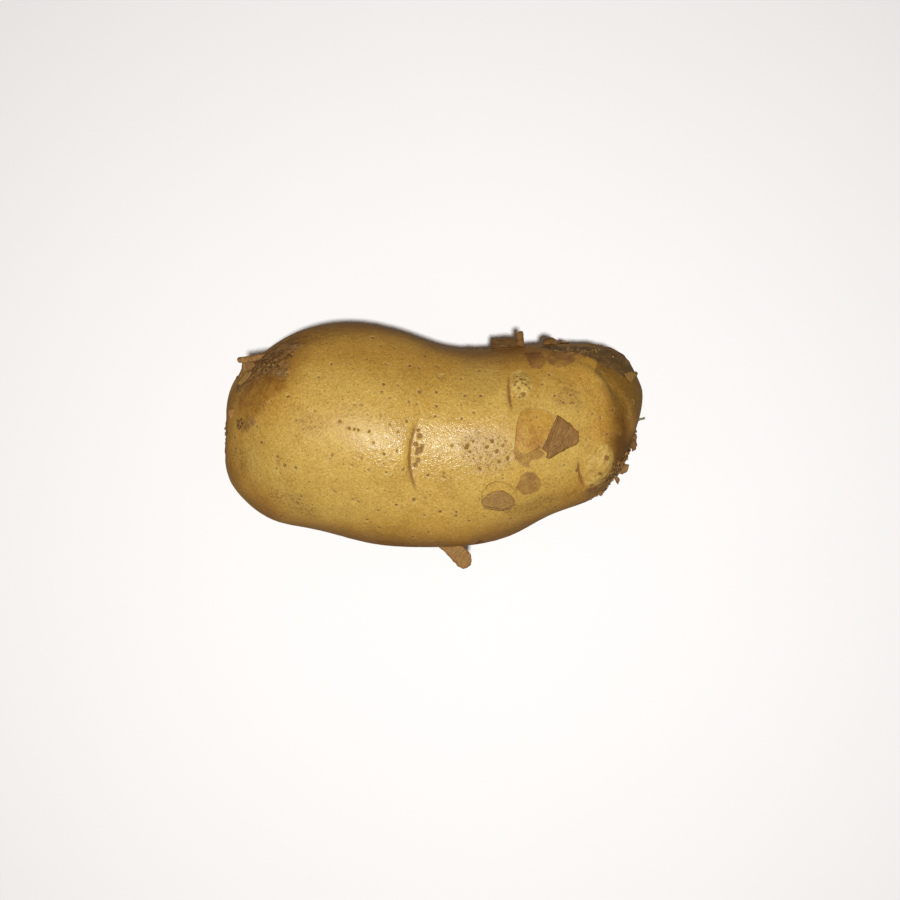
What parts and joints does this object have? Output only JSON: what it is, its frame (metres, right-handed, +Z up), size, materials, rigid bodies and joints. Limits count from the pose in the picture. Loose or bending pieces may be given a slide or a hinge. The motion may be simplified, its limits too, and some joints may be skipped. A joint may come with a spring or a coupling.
{
  "type": "potato",
  "caption": "Long, slightly waisted potato with shallow eyes, buds and scraps of loose papery skin, lying on its side.",
  "frame": {"origin": "on the flat spot that the potato rests on, under the middle of its length", "axes": "+X along the tuber from the stolon end, where it hung on the plant, to the rose end; +Y to the back; +Z up from the surface it rests on"},
  "size_m": [0.1063, 0.0618, 0.0492],
  "materials": {
    "skin": "thin, slightly waxy ochre skin with small dark pores and torn papery scraps"
  },
  "bodies": {
    "root": {"tuber": "skin"}
  },
  "joints": []
}
